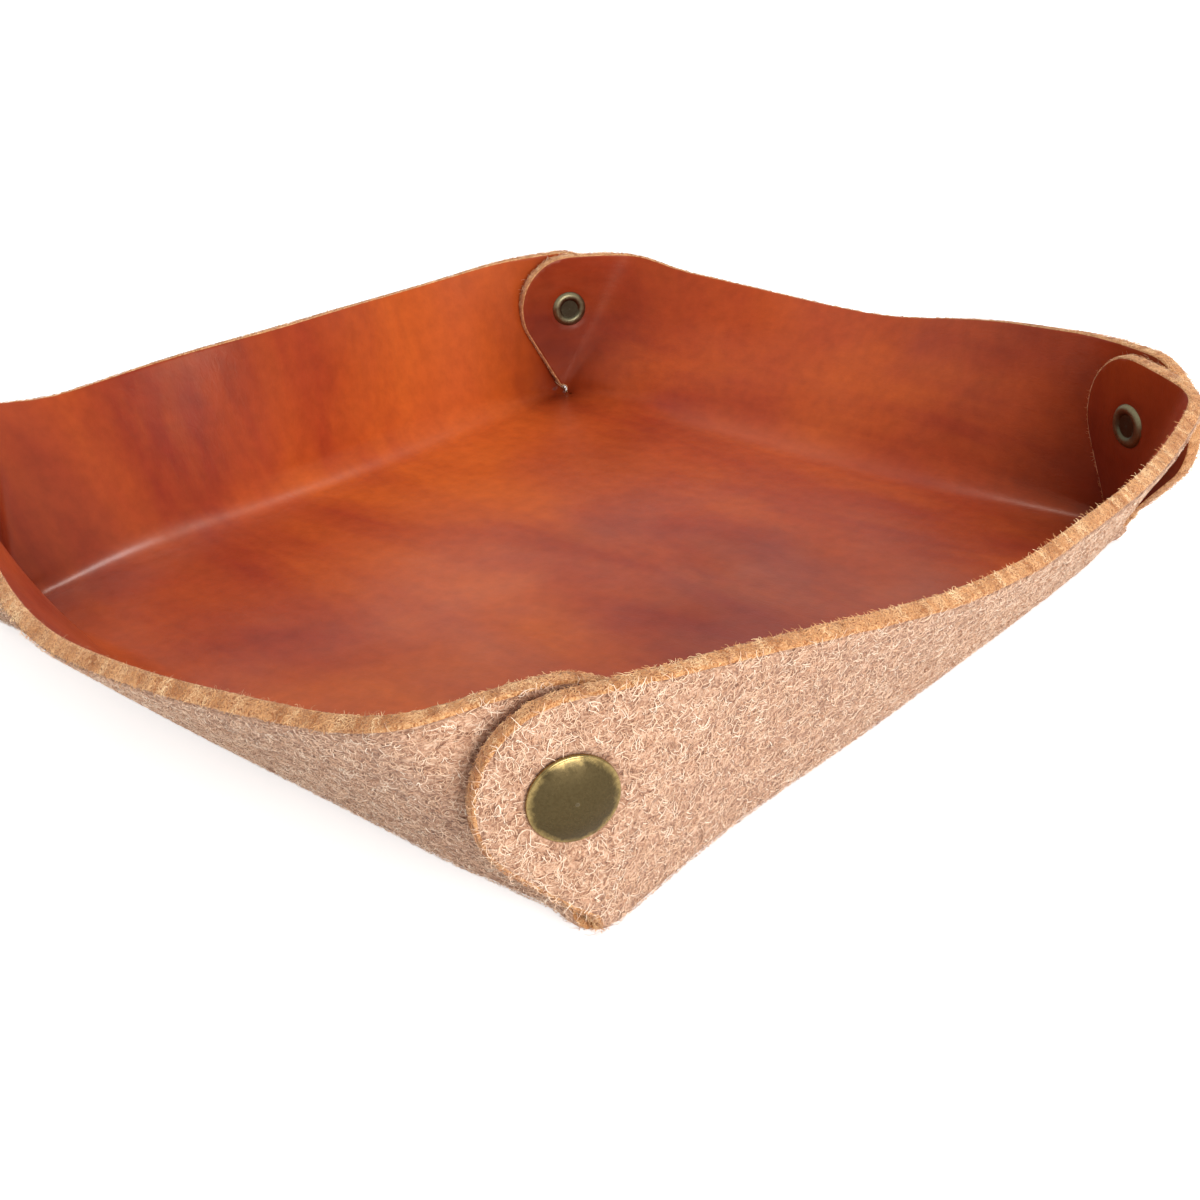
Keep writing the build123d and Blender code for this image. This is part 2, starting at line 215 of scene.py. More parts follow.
def surface(p, q, k):
    """Middle of the leather at a point of the flat sheet, in wall 0's place."""
    p, q = np.broadcast_arrays(np.asarray(p, float), np.asarray(q, float))
    t = p - HALF
    share = np.clip((SOFT_END - np.abs(q)) / SOFT_WIDTH, 0, 1)
    reach = REACH + SOFT * share * share * (3 - 2 * share)
    up = smooth_wall(q, t, k)
    foot = smooth_wall(q, np.zeros_like(t), k)
    high = smooth_wall(q, reach, k)
    back = foot - reach[..., None] * np.array([1.0, 0, 0])
    # the fold is a circular arc, written as a rational curve from back over foot to high
    tau = np.clip((t + reach) / (2 * reach), 0, 1)
    v1, v2 = foot - back, high - foot
    cosine = (v1 * v2).sum(-1) / (np.linalg.norm(v1, axis=-1) * np.linalg.norm(v2, axis=-1))
    weight = np.sqrt((1 + cosine) / 2)
    b0, b1, b2 = (1 - tau)**2, 2 * tau * (1 - tau) * weight, tau**2
    arc = (back * b0[..., None] + foot * b1[..., None] + high * b2[..., None])
    arc = arc / (b0 + b1 + b2)[..., None]
    fade = 1 - np.clip((np.abs(q) - HALF) / FOLD_FADE, 0, 1)
    near = np.where((t > -reach) & (t < reach), fade, 0)[..., None]
    wall = up + (arc - up) * near
    follow = smooth(np.clip((p - BASE_START) / BASE_RUN, 0, 1))
    flat = np.stack([p + (foot[..., 0] - HALF) * follow, q, np.full_like(p, MID)], -1)
    return np.where((t < -reach)[..., None], flat, np.where((t < 0)[..., None], arc, wall))


def placed(p, q, k):
    """surface() turned to wall k, mitred with the neighbour beside the corner holes."""
    own = rotate(surface(p, q, k), k)
    gap = np.abs(p - np.abs(q)) / math.sqrt(2)
    w = 0.5 * smooth(np.clip(1 - gap / MITRE_WIDTH, 0, 1))
    w = w * np.clip((MITRE_END - p) / MITRE_FADE, 0, 1)
    w = w * np.clip((p - MITRE_START) / MITRE_RUN, 0, 1)
    for side in (-1, 1):
        n = (w > 0) & (np.where(q < 0, -1, 1) == side)
        if n.any():
            neighbour = (k + side) % 4
            other = rotate(surface(np.abs(q[n]), -side * p[n], neighbour), neighbour)
            own[n] += (other - own[n]) * w[n][..., None]
    return own


def lattice(seed, u, v, cell):
    """Smooth noise over the flat sheet, from -1 to 1."""
    x, y = u / cell, v / cell
    i, j = np.floor(x).astype(np.int64), np.floor(y).astype(np.int64)
    fx, fy = smooth(x - i), smooth(y - j)

    def value(a, b):
        # a hash of the cell's corner, scaled to the range
        h = (a * 73856093) ^ (b * 19349663) ^ (seed * 83492791)
        h = (h ^ (h >> 13)) * 1274126177
        return ((h ^ (h >> 16)) & 0xFFFF) / 32767.5 - 1

    low = value(i, j) * (1 - fx) + value(i + 1, j) * fx
    high = value(i, j + 1) * (1 - fx) + value(i + 1, j + 1) * fx
    return low * (1 - fy) + high * fy


def world_flat(p, q, k):
    """A point of the flat sheet in the tray's own axes."""
    c, s = [(1, 0), (0, 1), (-1, 0), (0, -1)][k % 4]
    return c * p - s * q, s * p + c * q


def waves(rows, u, v):
    return sum(height * lattice(seed, u, v, cell) for seed, height, cell in rows)


def middle(p, q, k):
    """placed() with the slow waviness of real leather."""
    P = placed(p, q, k)
    u, v = world_flat(p, q, k)
    on_wall = np.clip((p - UP_START) / UP_RUN, 0, 1)
    on_wall = on_wall * np.clip((ALONG_END - np.abs(q)) / ALONG_FADE, 0, 1)
    on_base = np.clip((BASE_END - p) / BASE_FADE, 0, 1)
    P = P + rotate(np.array(WAVE_DIRECTION), k) * (waves(WALL_WAVES, u, v) * on_wall)[..., None]
    P[..., 2] += waves(BASE_WAVES, u, v) * on_base
    return P


def frame_at(p, q, k, h=0.05):
    """Middle point, both tangents, and the normal towards the flesh side."""
    P = middle(p, q, k)
    du = (middle(p + h, q, k) - middle(p - h, q, k)) / (2 * h)
    dv = (middle(p, q + h, k) - middle(p, q - h, k)) / (2 * h)
    n = np.cross(dv, du)
    n /= np.linalg.norm(n, axis=-1, keepdims=True)
    return P, du, dv, n


def seat(P, corner, radius):
    """Depth that a flange of this radius presses into the leather, at the points P."""
    centre, normal = snap_axis(corner)
    d = P - centre
    r = np.linalg.norm(d - (d @ normal)[:, None] * normal, axis=1)
    near = np.linalg.norm(d, axis=1) < SEAT_SPAN
    share = np.clip((radius + SEAT_EDGE - r) / SEAT_EDGE, 0, 1)
    return np.where(near, SEAT_DEPTH * share * share * (3 - 2 * share), 0)


def seats(P, q, k, outer_radius, inner_radius):
    """Dents of both press studs of wall k, each on its own tab."""
    outer = np.where(q < -TAB_FROM, seat(P, k, outer_radius), 0)
    return outer + np.where(q > TAB_FROM, seat(P, k + 1, inner_radius), 0)


# ---------------------------------------------------------------- flat pattern of a quarter
SEAM, CUT = 0, 1                # kinds of boundary: cut from the next quarter, or a real edge
SEAM_STEPS, HOLE_STEPS, SLIT_STEPS, ROUND_STEPS, RIM_STEPS = 72, 15, 19, 31, 171
GRIDS = ((0.0, 84.0, 2.6), (84.0, 143.5, 1.25))     # from p, to p, spacing: coarse base, fine wall
GRID_SPAN, ROW_SHARE = 122, 0.866               # half length of a row; rows' distance in spacings
JITTER, CLEAR = 0.12, 0.75      # grid points are moved by, and keep from the boundary
SLACK, TINY = 0.02, 1e-6        # a face's middle may lie outside by; smaller areas are dropped


def tab_shape(side):
    """A slit's length up to the tab's rounding, and the rounding's centre along the wall."""
    angle, rise = SLIT[side], SLANT - ROUND - SLIT_RISE[side]
    across = (rise * math.sin(angle) - ROUND) / math.cos(angle)
    return rise * math.cos(angle) + across * math.sin(angle), HALF + across


def half_outline(side):
    """Boundary of half a quarter: its seam, and its cut edge from the hole round the tab."""
    angle, lift = SLIT[side], SLIT_RISE[side]
    centre = HALF + HOLE_OUT
    seam = [(d, d) for d in np.linspace(0, centre - HOLE / math.sqrt(2), SEAM_STEPS)[:-1]]
    if lift:
        first, end = 0, -math.pi / 4
    else:
        # the slit leaves the hole where its line from the fold corner crosses it
        far = HOLE_OUT * (math.cos(angle) + math.sin(angle))
        first = far + math.sqrt(far**2 - 2 * HOLE_OUT**2 + HOLE**2)
        end = math.atan2(first * math.sin(angle) - HOLE_OUT, first * math.cos(angle) - HOLE_OUT)
    cut = [(centre + HOLE * math.cos(a), centre + HOLE * math.sin(a))
           for a in np.linspace(math.radians(225), 2 * math.pi + end, HOLE_STEPS)]
    if lift:
        cut.append((HALF + lift, HALF))
    length, round_q = tab_shape(side)
    cut += [(HALF + lift + d * math.cos(angle), HALF + d * math.sin(angle))
            for d in np.linspace(first, length, SLIT_STEPS)[1:-1]]
    round_p = HALF + SLANT - ROUND
    cut += [(round_p + ROUND * math.cos(a), round_q + ROUND * math.sin(a))
            for a in np.linspace(math.pi / 2 + angle, 0, ROUND_STEPS)]
    return seam, cut, round_q


def outline():
    """Boundary of a quarter, from the middle of the base round to it again, with its kinds."""
    seam, cut, first = half_outline(INNER)
    other_seam, other_cut, last = half_outline(OUTER)
    rim = [(HALF + SLANT, q) for q in np.linspace(first, -last, RIM_STEPS)[1:-1]]
    back = [(p, -q) for p, q in (other_seam + other_cut)[:0:-1]]
    kinds = [SEAM] * len(seam) + [CUT] * (len(cut) + len(rim) + len(other_cut))
    kinds += [SEAM] * (len(other_seam) - 1)
    return np.array(seam + cut + rim + back), np.array(kinds)


def inside(p, q, margin):
    """Whether flat points lie in the quarter, at least margin from its boundary."""
    aq = np.abs(q)
    dp, dq = p - HALF, aq - HALF
    ok = (p < HALF + SLANT - margin) & (np.hypot(dp - HOLE_OUT, dq - HOLE_OUT) > HOLE + margin)
    ok &= (p - aq > margin * math.sqrt(2)) | (dp > 0)
    for side in (OUTER, INNER):
        angle = SLIT[side]
        here = (q * side < 0)
        past = dq - np.maximum(dp - SLIT_RISE[side], 0) * math.tan(angle)
        ok &= ~(here & (dp > 0)) | (past < -margin / math.cos(angle))
        rp, rq = p - (HALF + SLANT - ROUND), aq - tab_shape(side)[1]
        turn = np.arctan2(rq, rp)
        rounding = here & (turn > 0) & (turn < math.pi / 2 + angle)
        ok &= ~rounding | (np.hypot(rp, rq) < ROUND - margin)
    return ok


def flat_mesh():
    """Points, triangles, boundary loop and the loop's kinds of a quarter of the flat sheet."""
    rim, kinds = outline()
    rng = np.random.default_rng(11)
    rows = []
    for low, high, step in GRIDS:
        for number, p in enumerate(np.arange(low + step / 2, high, step * ROW_SHARE)):
            q = np.arange(-GRID_SPAN, GRID_SPAN, step) + (number % 2) * step / 2
            rows.append(np.stack([np.full_like(q, p), q], -1))
    pts = np.concatenate(rows)
    pts = pts + rng.uniform(-JITTER, JITTER, pts.shape)
    pts = pts[inside(pts[:, 0], pts[:, 1], CLEAR)]
    n = len(rim)
    edges = [(i, (i + 1) % n) for i in range(n)]
    everything = [Vector(p) for p in np.concatenate([rim, pts])]
    verts, _, faces, origins, _, _ = delaunay_2d_cdt(everything, edges, [list(range(n))], 1, TINY)
    verts = np.array([(v.x, v.y) for v in verts])
    new_index = {}
    for i, origin in enumerate(origins):
        for j in origin:
            new_index[j] = i
    triangles = []
    for face in faces:
        middle_point = verts[list(face)].mean(0)
        if inside(middle_point[:1], middle_point[1:], -SLACK)[0]:
            a, b, c = verts[face[0]], verts[face[1]], verts[face[2]]
            area = (b[0] - a[0]) * (c[1] - a[1]) - (b[1] - a[1]) * (c[0] - a[0])
            if abs(area) > TINY:
                triangles.append(list(face) if area > 0 else [face[0], face[2], face[1]])
    return verts, np.array(triangles), np.array([new_index[i] for i in range(n)]), kinds


# ---------------------------------------------------------------- shader helpers
def material(name):
    m = bpy.data.materials.new(name)
    m.use_nodes = True
    return m, m.node_tree, m.node_tree.nodes["Principled BSDF"]


def grey(value):
    return (value,) * 3


def ramp(nt, source, stops):
    """Colour ramp over a value, from (position, colour) stops."""
    r = nt.nodes.new("ShaderNodeValToRGB")
    while len(r.color_ramp.elements) < len(stops):
        r.color_ramp.elements.new(0.5)
    for element, (position, colour) in zip(r.color_ramp.elements, stops):
        element.position = position
        element.color = (*colour, 1)
    nt.links.new(source, r.inputs[0])
    return r.outputs[0]


def noise(nt, vec, scale, detail, rough=0.5, distort=0.0):
    n = nt.nodes.new("ShaderNodeTexNoise")
    n.inputs["Scale"].default_value = scale
    n.inputs["Detail"].default_value = detail
    n.inputs["Roughness"].default_value = rough
    n.inputs["Distortion"].default_value = distort
    nt.links.new(vec, n.inputs["Vector"])
    return n.outputs["Fac"]


def cells(nt, vec, scale):
    n = nt.nodes.new("ShaderNodeTexVoronoi")
    n.inputs["Scale"].default_value = scale
    nt.links.new(vec, n.inputs["Vector"])
    return n.outputs["Distance"]


def mix(nt, a, b, share, how="MIX"):
    """Blend of two linked colours."""
    n = nt.nodes.new("ShaderNodeMix")
    n.data_type = "RGBA"
    n.blend_type = how
    n.inputs[0].default_value = share
    nt.links.new(a, n.inputs[6])
    nt.links.new(b, n.inputs[7])
    return n.outputs[2]


def maths(nt, operation, a, b):
    """One sum on two values, linked or fixed."""
    n = nt.nodes.new("ShaderNodeMath")
    n.operation = operation
    for socket, value in zip(n.inputs, (a, b)):
        if isinstance(value, bpy.types.NodeSocket):
            nt.links.new(value, socket)
        else:
            socket.default_value = value
    return n.outputs[0]


def vector_maths(nt, operation, a, fixed=None, output="Vector"):
    """One vector operation on a linked vector and, where it needs one, a fixed one."""
    n = nt.nodes.new("ShaderNodeVectorMath")
    n.operation = operation
    nt.links.new(a, n.inputs[0])
    if fixed is not None:
        n.inputs[1].default_value = fixed
    return n.outputs[output]


def bump(nt, height, strength, distance, after=None):
    n = nt.nodes.new("ShaderNodeBump")
    n.inputs["Strength"].default_value = strength
    n.inputs["Distance"].default_value = distance
    nt.links.new(height, n.inputs["Height"])
    if after is not None:
        nt.links.new(after, n.inputs["Normal"])
    return n.outputs["Normal"]


def stretched(nt, vec, scale, turn=0.0):
    n = nt.nodes.new("ShaderNodeMapping")
    n.inputs["Scale"].default_value = scale
    n.inputs["Rotation"].default_value = (0, 0, turn)
    nt.links.new(vec, n.inputs["Vector"])
    return n.outputs["Vector"]


def flat_coords(nt):
    """The flat sheet's own coordinates, in metres, which ride along when the leather bends."""
    n = nt.nodes.new("ShaderNodeUVMap")
    n.uv_map = "flat"
    return n.outputs["UV"]


def object_coords(nt):
    return nt.nodes.new("ShaderNodeTexCoord").outputs["Object"]


# ---------------------------------------------------------------- materials
def make_grain():
    """Glossy red-brown grain side: cloudy dye, pores, fine creases, and painted shade that darkens
    it near the corners.
    """
    m, nt, b = material("leather_grain")
    uv = flat_coords(nt)
    clouds = noise(nt, stretched(nt, uv, (1, 1, 1)), scale=11.0, detail=3.0, distort=0.6)
    streaks = noise(nt, stretched(nt, uv, (1.0, 3.2, 1), 0.7), scale=9.0, detail=4.0, rough=0.55,
                    distort=0.8)
    specks = noise(nt, uv, scale=240.0, detail=3.0, rough=0.6)
    base = ramp(nt, clouds, [(0.36, (0.22, 0.020, 0.010)), (0.48, (0.36, 0.044, 0.013)),
                             (0.62, (0.52, 0.092, 0.012))])
    warm = ramp(nt, streaks, [(0.35, (0.27, 0.030, 0.012)), (0.62, (0.54, 0.105, 0.016))])
    colour = mix(nt, base, warm, 0.45)
    speck = ramp(nt, specks, [(0.3, (0.78, 0.74, 0.72)), (0.65, (1.08, 1.06, 1.05))])
    colour = mix(nt, colour, speck, 0.55, "MULTIPLY")
    # painted shade: the colour darkens towards each corner, where the folded corner's own shade
    # falls
    tab_middle = (0.104, 0.104, 0)
    from_tab = vector_maths(nt, "SUBTRACT", vector_maths(nt, "ABSOLUTE", uv), tab_middle)
    from_tab = vector_maths(nt, "LENGTH", from_tab, output="Value")
    shade_scale = 20.0          # the ramp runs over 50 mm
    painted_corner_shade = ramp(nt, maths(nt, "MULTIPLY", from_tab, shade_scale),
                 [(0.25, (0.50, 0.40, 0.42)), (0.95, (1.0, 1.0, 1.0))])
    nt.links.new(mix(nt, colour, painted_corner_shade, 1.0, "MULTIPLY"), b.inputs["Base Color"])
    gloss = noise(nt, uv, scale=38.0, detail=4.0, rough=0.6, distort=0.3)
    polish = noise(nt, stretched(nt, uv, (1, 1.5, 1), 0.9), scale=13.0, detail=2.0, distort=0.4)
    nt.links.new(ramp(nt, gloss, [(0.3, grey(0.30)), (0.7, grey(0.44))]), b.inputs["Roughness"])
    nt.links.new(ramp(nt, polish, [(0.40, grey(0.0)), (0.60, grey(0.20))]), b.inputs["Coat Weight"])
    b.inputs["Specular IOR Level"].default_value = 0.22
    b.inputs["Specular Tint"].default_value = (1.0, 0.72, 0.54, 1)
    b.inputs["Coat Roughness"].default_value = 0.24
    pores = ramp(nt, cells(nt, uv, 1250.0), [(0.0, grey(0)), (0.28, grey(1))])
    creases = noise(nt, stretched(nt, uv, (1, 2.2, 1), 0.4), scale=330.0, detail=3.0, rough=0.6,
                    distort=1.2)
    pull = noise(nt, stretched(nt, uv, (1, 1.8, 1), 0.5), scale=34.0, detail=3.0, distort=0.5)
    slow = bump(nt, pull, 0.22, 0.0009)
    fine = bump(nt, creases, 0.30, 0.00016, slow)
    nt.links.new(bump(nt, pores, 0.22, 0.00007, fine), b.inputs["Normal"])
    nt.links.new(slow, b.inputs["Coat Normal"])
    return m


def make_flesh():
    """Matt, fuzzy tan flesh side, under the loose fibres, with painted shade in the gaps of its
    nap.
    """
    m, nt, b = material("leather_flesh")
    uv = flat_coords(nt)
    nap = noise(nt, uv, scale=900.0, detail=4.0, rough=0.7, distort=1.6)
    clump = noise(nt, uv, scale=300.0, detail=3.0, rough=0.6, distort=0.6)
    drift = noise(nt, uv, scale=14.0, detail=3.0)
    # the nap's dark low stop is painted shade in the gaps between fibres; the lighter stops are the
    # fibres' own tan
    base = ramp(nt, nap, [(0.36, (0.22, 0.095, 0.050)), (0.5, (0.56, 0.31, 0.19)),
                          (0.64, (0.84, 0.58, 0.41))])
    tint = ramp(nt, drift, [(0.3, (0.90, 0.86, 0.84)), (0.7, (1.06, 1.03, 1.0))])
    dark = ramp(nt, clump, [(0.33, (0.72, 0.66, 0.62)), (0.6, grey(1.04))])
    colour = mix(nt, mix(nt, base, tint, 0.8, "MULTIPLY"), dark, 0.8, "MULTIPLY")
    nt.links.new(colour, b.inputs["Base Color"])
    b.inputs["Roughness"].default_value = 0.95
    b.inputs["Specular IOR Level"].default_value = 0.15
    b.inputs["Sheen Weight"].default_value = 0.25
    b.inputs["Sheen Roughness"].default_value = 0.6
    b.inputs["Sheen Tint"].default_value = (1.0, 0.86, 0.78, 1)
    curl = noise(nt, uv, scale=1300.0, detail=3.0, rough=0.65, distort=2.2)
    nt.links.new(bump(nt, curl, 0.9, 0.0004, bump(nt, clump, 0.6, 0.0005)), b.inputs["Normal"])
    return m


def make_fibre(name, low, middle_tone, high):
    m, nt, b = material(name)
    tone = noise(nt, flat_coords(nt), scale=620.0, detail=2.0)
    nt.links.new(ramp(nt, tone, [(0.34, low), (0.5, middle_tone), (0.66, high)]),
                 b.inputs["Base Color"])
    b.inputs["Roughness"].default_value = 0.8
    b.inputs["Specular IOR Level"].default_value = 0.2
    b.inputs["Sheen Weight"].default_value = 0.2
    return m


def make_edge():
    """Raw cut edge, orange-tan and a little layered."""
    m, nt, b = material("leather_edge")
    obj = object_coords(nt)
    fuzz = noise(nt, obj, scale=1500.0, detail=3.0, rough=0.7, distort=1.5)
    layers = noise(nt, obj, scale=420.0, detail=3.0, rough=0.6)
    colour = ramp(nt, fuzz, [(0.34, (0.30, 0.095, 0.028)), (0.5, (0.64, 0.30, 0.115)),
                             (0.66, (0.86, 0.54, 0.27))])
    dark = ramp(nt, layers, [(0.35, (0.80, 0.74, 0.70)), (0.6, grey(1.05))])
    nt.links.new(mix(nt, colour, dark, 0.8, "MULTIPLY"), b.inputs["Base Color"])
    b.inputs["Roughness"].default_value = 0.85
    b.inputs["Specular IOR Level"].default_value = 0.2
    b.inputs["Sheen Weight"].default_value = 0.2
    nt.links.new(bump(nt, fuzz, 0.8, 0.0003), b.inputs["Normal"])
    return m


def make_brass(name, corner, dark, light, inner, outer, rough):
    """Antique brass of one press stud: dark out to the share inner of its radius, worn beyond."""
    m, nt, b = material(name)
    obj = object_coords(nt)
    centre, normal = snap_axis(corner)
    arm = vector_maths(nt, "SUBTRACT", obj, tuple(centre * MM))
    arm = vector_maths(nt, "CROSS_PRODUCT", arm, tuple(normal))
    arm = vector_maths(nt, "LENGTH", arm, output="Value")
    radius = maths(nt, "DIVIDE", arm, outer * MM)
    patch = noise(nt, obj, scale=520.0, detail=4.0, rough=0.6, distort=0.4)
    uneven = maths(nt, "MULTIPLY", maths(nt, "SUBTRACT", patch, 0.5), 0.35)
    between = tuple(0.5 * (a + d) for a, d in zip(dark, light))
    colour = ramp(nt, maths(nt, "ADD", radius, uneven),
                  [(inner, dark), (0.5 * (inner + 1.0), between), (0.97, light)])
    spots = ramp(nt, noise(nt, obj, scale=2300.0, detail=3.0, rough=0.6),
                 [(0.3, (0.75, 0.72, 0.68)), (0.6, grey(1.05))])
    nt.links.new(mix(nt, colour, spots, 0.7, "MULTIPLY"), b.inputs["Base Color"])
    # matt at the pole, where the dome's small facets would glint
    pole = ramp(nt, radius, [(0.03, grey(1.0)), (0.05, grey(0.0))])
    uneven_gloss = ramp(nt, patch, [(0.3, grey(rough[0])), (0.7, grey(rough[1]))])
    nt.links.new(maths(nt, "MAXIMUM", uneven_gloss, pole), b.inputs["Roughness"])
    nt.links.new(maths(nt, "SUBTRACT", 1.0, pole), b.inputs["Metallic"])
    scratch = noise(nt, stretched(nt, obj, (1, 1, 6)), scale=1700.0, detail=3.0, rough=0.6)
    nt.links.new(bump(nt, scratch, 0.12, 0.00004), b.inputs["Normal"])
    return m


def make_wire():
    """Bright drawn steel of the spring rings."""
    m, nt, b = material("spring_wire_drawn")
    line = noise(nt, stretched(nt, object_coords(nt), (1, 1, 8)), scale=2600.0, detail=3.0,
                 rough=0.6)
    nt.links.new(ramp(nt, line, [(0.3, (0.40, 0.39, 0.37)), (0.7, (0.62, 0.61, 0.59))]),
                 b.inputs["Base Color"])
    b.inputs["Metallic"].default_value = 1.0
    nt.links.new(ramp(nt, line, [(0.3, grey(0.25)), (0.7, grey(0.42))]), b.inputs["Roughness"])
    nt.links.new(bump(nt, line, 0.2, 0.00003), b.inputs["Normal"])
    return m


LEATHER = [
    make_grain(),
    make_flesh(),
    make_edge(),
    make_fibre("leather_fibre", (0.52, 0.27, 0.155), (0.84, 0.57, 0.385), (0.96, 0.80, 0.63)),
    make_fibre("leather_edge_fibre", (0.44, 0.16, 0.05), (0.76, 0.40, 0.17), (0.93, 0.66, 0.37))]
GRAIN_SLOT, FLESH_SLOT, EDGE_SLOT, FIBRE_SLOT, EDGE_FIBRE_SLOT = range(5)

# ---------------------------------------------------------------- leather pieces
FLAT, TRI, LOOP, KINDS = flat_mesh()
# rows of the cut edge, from grain to flesh: share of half the thickness, and how far it bulges
EDGE_ROWS = [(-0.93, -0.10), (-0.6, 0.02), (-0.2, 0.07), (0.2, 0.05), (0.5, -0.04), (0.74, -0.20)]
EDGE_ROUGH = 0.07               # spread of the edge's roughness
GRAIN_SHORT, FLESH_SHORT, FLESH_DROP = 0.38, 0.65, 0.32     # both faces end short of the edge
NAP_DEPTH = 0.12                # the flesh face lies deeper by this, under its fibres
# radii of the flanges on the outer and the inner tab, as seen by grain, flesh and fibres
GRAIN_SEATS, FLESH_SEATS, FIBRE_SEATS = (6.2, 5.4), (7.5, 5.8), (7.7, 5.8)
SEAT_FREE = 0.05                # fibres stand only where a dent is shallower

# loose fibres: numbers, and ranges of length, lift and width with the spread of their curl
FLESH_FIBRES, EDGE_FIBRES = 27000, 9000
FLESH_LENGTH, FLESH_LIFT, FLESH_WIDTH, FLESH_CURL = (0.8, 2.6), (0.12, 0.50), (0.09, 0.17), 1.9
EDGE_LENGTH, EDGE_LIFT, EDGE_WIDTH, EDGE_CURL = (0.4, 1.4), (0.04, 0.22), (0.07, 0.13), 1.6
FIBRE_STEPS, FIBRE_TAPER, FIBRE_TILT = 4, 0.55, 0.03
ARCH_START, ARCH_SHARE = 0.15, 0.8              # part of half a sine wave that a fibre arches by
FIBRE_P, FIBRE_Q, FIBRE_CLEAR, FIBRE_ROOT = (84, 143), (-120, 120), 0.3, 0.14
SPARSE_BELOW, SPARSE_SHARE, LOW_SHARE = 92, 0.25, 0.2
EDGE_DEPTHS, EDGE_SPREAD = (-0.85, 0.72), 0.6   # shares of half the thickness; along the edge
EDGE_OUT, EDGE_IN, EDGE_FLAT = 0.10, 0.20, 0.5  # roots stand out less beyond this share


def edge_normals():
    """Outward direction of the flat boundary, at each of its points."""
    pts = FLAT[LOOP]
    tangent = np.roll(pts, -1, 0) - np.roll(pts, 1, 0)
    n = np.stack([tangent[:, 1], -tangent[:, 0]], -1)
    n /= np.linalg.norm(n, axis=1, keepdims=True)
    area = np.sum(pts[:, 0] * np.roll(pts[:, 1], -1) - pts[:, 1] * np.roll(pts[:, 0], -1))
    return n if area > 0 else -n


def strands(rng, root, e1, e2, n, length, curve, lift, width):
    """Curved ribbons that lie along e1 and e2 at each root and arch along n."""
    count, last = len(root), FIBRE_STEPS - 1
    heading = rng.uniform(0, 2 * math.pi, count)
    points = np.empty((count, FIBRE_STEPS, 2, 3))
    at = root.copy()
    for i in range(FIBRE_STEPS):
        f = i / last
        a = heading + curve * f
        d = e1 * np.cos(a)[:, None] + e2 * np.sin(a)[:, None]
        arch = n * (lift * math.sin(math.pi * (ARCH_START + f * ARCH_SHARE)))[:, None]
        half_width = np.cross(n, d) * (width * (1 - FIBRE_TAPER * f) / 2)[:, None]
        points[:, i, 0] = at + arch + half_width
        points[:, i, 1] = at + arch - half_width + n * FIBRE_TILT
        at = at + d * (length / last)[:, None]
    base = np.arange(count)[:, None] * FIBRE_STEPS * 2
    faces = [base + np.array([[2 * i, 2 * i + 2, 2 * i + 3, 2 * i + 1]]) for i in range(last)]
    return points.reshape(-1, 3), np.concatenate(faces)


def flesh_fibres(k, rng):
    """Loose curled fibres on the flesh side; few and low under the base."""
    p = rng.uniform(*FIBRE_P, FLESH_FIBRES * 3)
    q = rng.uniform(*FIBRE_Q, FLESH_FIBRES * 3)
    keep = inside(p, q, FIBRE_CLEAR)
    keep &= (p > SPARSE_BELOW) | (rng.uniform(size=len(p)) < SPARSE_SHARE)
    p, q = p[keep][:FLESH_FIBRES], q[keep][:FLESH_FIBRES]
    P, du, dv, n = frame_at(p, q, k)
    free = seats(P, q, k, *FIBRE_SEATS) < SEAT_FREE
    p, q, P, du, n = p[free], q[free], P[free], du[free], n[free]
    count = len(p)
    e1 = du / np.linalg.norm(du, axis=1, keepdims=True)
    lift = rng.uniform(*FLESH_LIFT, count) * np.where(p < HALF, LOW_SHARE, 1)
    points, faces = strands(
        rng, P + n * (MID - FIBRE_ROOT), e1, np.cross(n, e1), n,
        length=rng.uniform(*FLESH_LENGTH, count), curve=rng.normal(0, FLESH_CURL, count),
        lift=lift, width=rng.uniform(*FLESH_WIDTH, count))
    uv = np.stack(world_flat(p, q, k), -1)
    return points, faces, np.repeat(uv, FIBRE_STEPS * 2, 0)


def edge_fibres(rng, middle_line, normal, outward, uv):
    """Shorter fibres on the cut edge, between the two faces."""
    pick = rng.integers(0, len(middle_line), EDGE_FIBRES)
    depth = rng.uniform(*EDGE_DEPTHS, EDGE_FIBRES)
    root = middle_line[pick] + normal[pick] * (MID * depth)[:, None]
    along = np.cross(normal[pick], outward[pick])
    root = root + along * rng.uniform(-EDGE_SPREAD, EDGE_SPREAD, EDGE_FIBRES)[:, None]
    out = EDGE_OUT - EDGE_IN * np.clip(np.abs(depth) - EDGE_FLAT, 0, 1)
    root = root + outward[pick] * out[:, None]
    points, faces = strands(
        rng, root, along, normal[pick], outward[pick],
        length=rng.uniform(*EDGE_LENGTH, EDGE_FIBRES), curve=rng.normal(0, EDGE_CURL, EDGE_FIBRES),
        lift=rng.uniform(*EDGE_LIFT, EDGE_FIBRES), width=rng.uniform(*EDGE_WIDTH, EDGE_FIBRES))
    return points, faces, np.repeat(uv[pick], FIBRE_STEPS * 2, 0)


